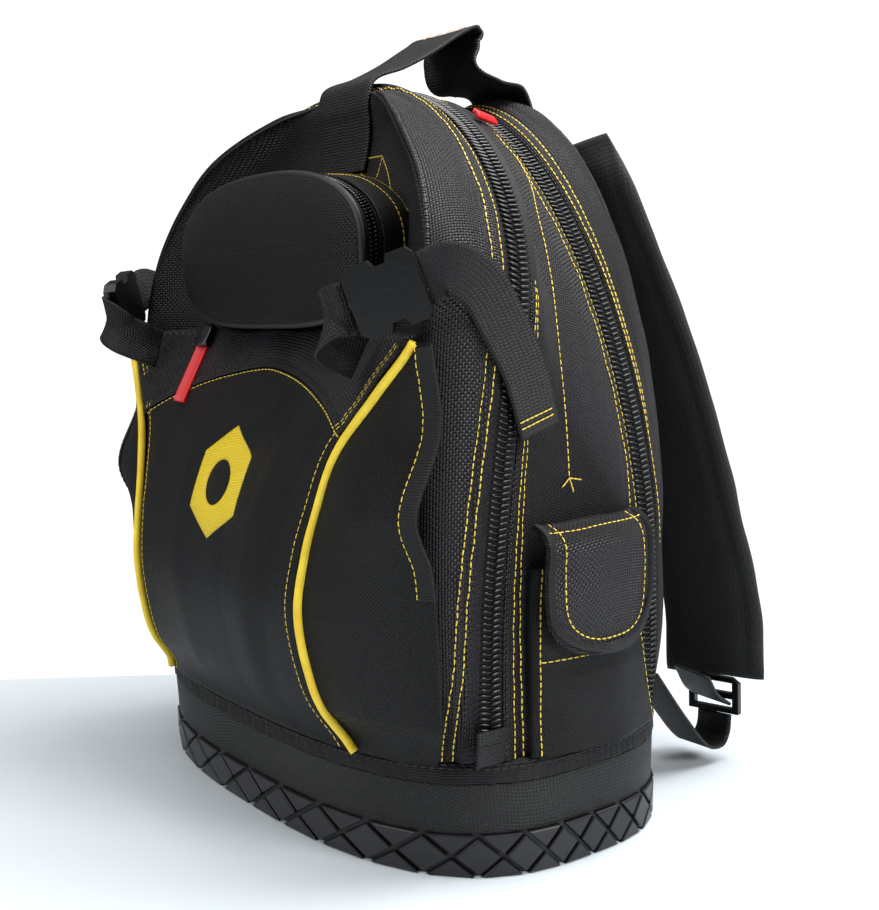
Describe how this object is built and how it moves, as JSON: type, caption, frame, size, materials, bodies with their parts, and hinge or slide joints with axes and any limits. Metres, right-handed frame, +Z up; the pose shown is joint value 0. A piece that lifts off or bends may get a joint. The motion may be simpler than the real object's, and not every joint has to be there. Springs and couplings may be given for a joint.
{
  "type": "tool backpack",
  "caption": "Black soft-sided tool backpack standing on a moulded rubber tread base, with arched coil zippers, yellow piping, a bulged front pocket, a small moulded case and padded straps",
  "frame": {"origin": "the middle of the base tray's flat underside, on the floor", "axes": "+Z up, -Y to the bag's front, +Y to the shoulder straps, +X to the right side seen from the front"},
  "size_m": [0.3626, 0.2918, 0.4403],
  "materials": {
    "rubber": "moulded, satin tread with a finely gridded band above",
    "weave": "coated ballistic polyester weave",
    "webbing": "ribbed polypropylene webbing and binding tape",
    "coil": "nylon coil zipper on woven tape",
    "moulded": "fabric laminated on moulded foam",
    "buckle": "moulded acetal buckles",
    "mesh": "padded strap in spacer mesh",
    "yellow": "yellow piping and embroidery"
  },
  "bodies": {
    "root": {"base_tray": "rubber", "base_binding": "webbing", "front_shell": "weave", "zipper_1": "coil", "middle_shell": "weave", "zipper_2": "coil", "rear_shell": "weave", "pocket_panel": "weave", "pocket_yoke": "weave", "motif": "yellow", "case_back": "moulded", "case_zipper": "coil", "case_lid": "moulded", "handle": "webbing", "zipper_tab_right": "webbing", "zipper_tab_left": "webbing", "pocket_gusset_right": "weave", "pocket_gusset_left": "weave", "piping_right": "yellow", "piping_left": "yellow", "slip_binding_right": "webbing", "slip_binding_left": "webbing", "side_pouch_right": "weave", "side_pouch_left": "weave", "side_flap_right": "weave", "side_flap_left": "weave", "shoulder_strap_right": "mesh", "shoulder_strap_left": "mesh", "strap_webbing_right": "webbing", "strap_webbing_left": "webbing", "strap_tail_right": "webbing", "strap_tail_left": "webbing", "ladder_lock_right": "buckle", "ladder_lock_left": "buckle", "compression_strap_right": "webbing", "compression_strap_left": "webbing", "buckle_right": "buckle", "buckle_left": "buckle", "buckle_anchor_right": "webbing", "buckle_anchor_left": "webbing"}
  },
  "joints": []
}
